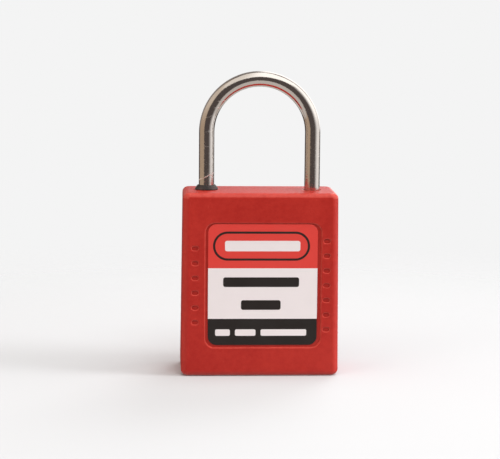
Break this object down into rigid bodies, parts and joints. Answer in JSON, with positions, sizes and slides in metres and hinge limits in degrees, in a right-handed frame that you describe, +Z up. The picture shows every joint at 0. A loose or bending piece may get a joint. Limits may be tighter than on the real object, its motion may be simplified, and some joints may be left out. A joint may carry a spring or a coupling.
{
  "type": "safety padlock",
  "caption": "Keyed safety padlock with a moulded plastic case, a thin steel shackle and a label on its front face.",
  "frame": {"origin": "centre of the case's foot, at the level the padlock stands on", "axes": "+Z up along the shackle, -Y out of the front face with the label, +X towards the shackle's toe leg"},
  "size_m": [0.0408, 0.019, 0.0782],
  "materials": {
    "body_case": "moulded ABS with a fine mould grain",
    "bottom_cap": "moulded ABS with a fine mould grain",
    "label": "printed vinyl",
    "shackle_seal": "matt moulded rubber",
    "shackle": "polished steel bar",
    "spring_steel": "drawn wire",
    "turned_brass": "turned",
    "turned_steel": "turned and ground",
    "cast_zinc": "die-cast zinc alloy",
    "black_nylon": "moulded nylon"
  },
  "bodies": {
    "case": {"body_case": "body_case", "bottom_cap": "bottom_cap", "cap_insert": "turned_brass", "cap_screw": "turned_steel", "label": "label", "shackle_seal": "shackle_seal", "shackle_spring": "spring_steel", "cylinder_housing": "cast_zinc", "chamber_cover": "cast_zinc", "driver_pin_1": "turned_steel", "driver_pin_2": "turned_steel", "driver_pin_3": "turned_steel", "driver_pin_4": "turned_steel", "driver_pin_5": "turned_steel", "driver_pin_6": "turned_steel", "pin_spring_1": "spring_steel", "pin_spring_2": "spring_steel", "pin_spring_3": "spring_steel", "pin_spring_4": "spring_steel", "pin_spring_5": "spring_steel", "pin_spring_6": "spring_steel", "cylinder_sleeve": "black_nylon", "mechanism_carrier": "black_nylon"},
    "plug": {"plug": "turned_brass", "plug_clip": "spring_steel", "crank_spindle": "turned_steel", "key_pin_1": "turned_brass", "key_pin_2": "turned_brass", "key_pin_3": "turned_brass", "key_pin_4": "turned_brass", "key_pin_5": "turned_brass", "key_pin_6": "turned_brass"},
    "shackle": {"shackle": "shackle", "heel_clip": "spring_steel"},
    "toe_bolt": {"toe_bolt": "turned_steel"},
    "heel_bolt": {"heel_bolt": "turned_steel"}
  },
  "joints": [
    {"name": "plug_turn", "type": "hinge", "parent": "case", "child": "plug", "pos_m": [0, -0.0021, 0], "axis": [0, 0, 1], "range_deg": [0, 90]},
    {"name": "shackle_lift", "type": "slide", "parent": "case", "child": "shackle", "axis": [0, 0, 1], "range_m": [0, 0.0095], "deforming": ["shackle_spring"]},
    {"name": "toe_bolt_slide", "type": "slide", "parent": "case", "child": "toe_bolt", "axis": [1, 0, 0], "range_m": [-0.003, 0]},
    {"name": "heel_bolt_slide", "type": "slide", "parent": "case", "child": "heel_bolt", "axis": [1, 0, 0], "range_m": [0, 0.003]}
  ],
  "couplings": [
    {"joint": "plug_turn", "follows": "shackle_lift", "rad_per_m": 165.34},
    {"joint": "toe_bolt_slide", "follows": "shackle_lift", "ratio": -0.31578},
    {"joint": "heel_bolt_slide", "follows": "shackle_lift", "ratio": 0.31578}
  ]
}
